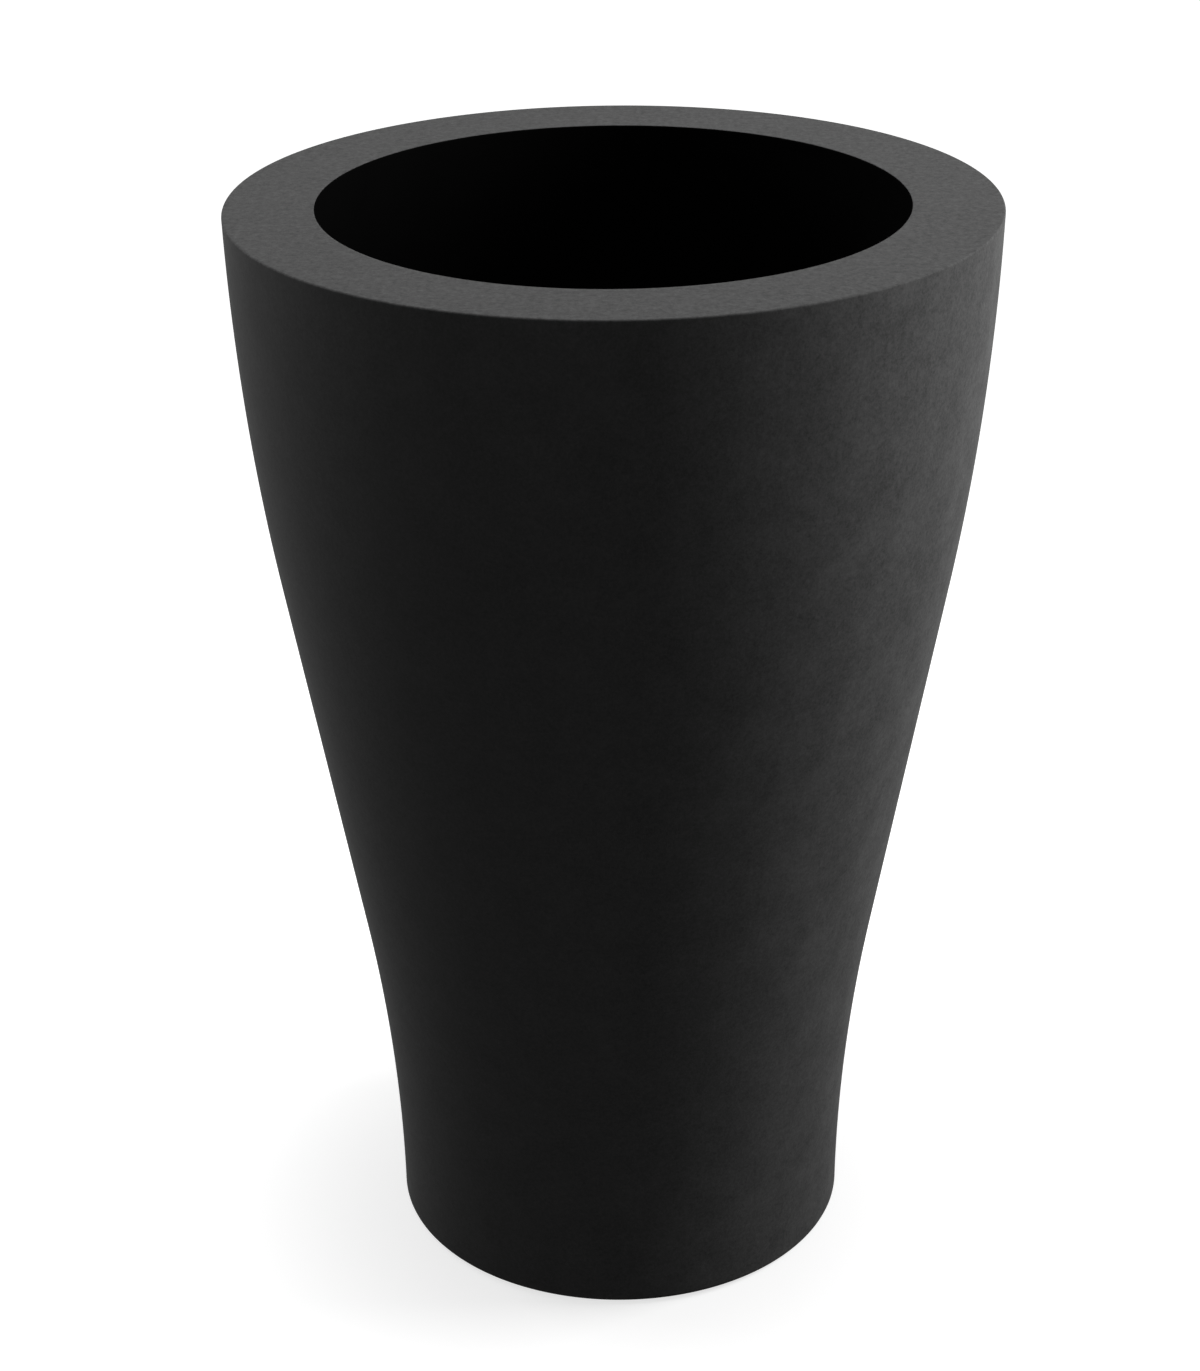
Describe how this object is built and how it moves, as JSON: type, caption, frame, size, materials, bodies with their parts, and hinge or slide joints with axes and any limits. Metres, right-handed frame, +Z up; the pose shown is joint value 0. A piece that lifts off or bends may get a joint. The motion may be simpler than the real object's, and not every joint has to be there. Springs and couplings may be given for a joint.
{
  "type": "floor planter",
  "caption": "Tall round black floor planter with an S-curved wall, a wide flat rim, a lift-out grow pot with swing handles, a water reserve with gauge, and a screw drain.",
  "frame": {"origin": "on the floor, under the middle of the foot", "axes": "+Z up along the pot's axis; -Y faces the viewer, where the filler tube is; +X is the viewer's right, where one of the two lift handles is"},
  "size_m": [0.6, 0.5998, 0.9],
  "materials": {
    "shell_skin": "matt rotomoulded polyethylene, black with a faint mottle",
    "seat_plastic": "matt moulded polyethylene, black",
    "inner_plastic": "satin injection-moulded polypropylene, black",
    "handle_plastic": "satin moulded nylon, dark grey",
    "drain_plastic": "satin moulded polypropylene, black",
    "pad_rubber": "matt rubber, black",
    "float_foam": "closed-cell foam, white",
    "stem_plastic": "extruded polystyrene rod, white",
    "tip_plastic": "moulded plastic, red"
  },
  "bodies": {
    "shell": {"outer_shell": "shell_skin", "liner_seat": "seat_plastic", "foot_pads": "pad_rubber", "drain_bush": "drain_plastic", "drain_nut": "drain_plastic"},
    "liner": {"grow_pot": "inner_plastic", "soil_platform": "inner_plastic", "wick_cups": "inner_plastic", "filler_tube": "inner_plastic"},
    "right_handle": {"right_lift_handle": "handle_plastic"},
    "left_handle": {"left_lift_handle": "handle_plastic"},
    "gauge": {"level_float": "float_foam", "level_stem": "stem_plastic", "level_tip": "tip_plastic"},
    "cap": {"filler_cap": "handle_plastic"},
    "seal": {"drain_seal": "pad_rubber"},
    "plug": {"drain_plug": "drain_plastic"}
  },
  "joints": [
    {"name": "liner_lift", "type": "slide", "parent": "shell", "child": "liner", "axis": [0, 0, 1], "range_m": [0, 0.65]},
    {"name": "right_handle_swing", "type": "hinge", "parent": "liner", "child": "right_handle", "pos_m": [0.16922, 0, 0.7488], "axis": [0, -1, 0], "range_deg": [0, 100]},
    {"name": "left_handle_swing", "type": "hinge", "parent": "liner", "child": "left_handle", "pos_m": [-0.16922, 0, 0.7488], "axis": [0, 1, 0], "range_deg": [0, 100]},
    {"name": "float_rise", "type": "slide", "parent": "liner", "child": "gauge", "axis": [0, 0, 1], "range_m": [0, 0.045]},
    {"name": "cap_pull", "type": "slide", "parent": "liner", "child": "cap", "axis": [0, 0, 1], "range_m": [0, 0.025]},
    {"name": "plug_travel", "type": "slide", "parent": "shell", "child": "seal", "axis": [0, 0, -1], "range_m": [0, 0.012]},
    {"name": "plug_turn", "type": "hinge", "parent": "seal", "child": "plug", "pos_m": [0, 0, 0.012], "axis": [0, 0, -1], "range_deg": [0, 1080]}
  ],
  "couplings": [
    {"joint": "plug_travel", "follows": "plug_turn", "m_per_rad": 0.00063662}
  ]
}
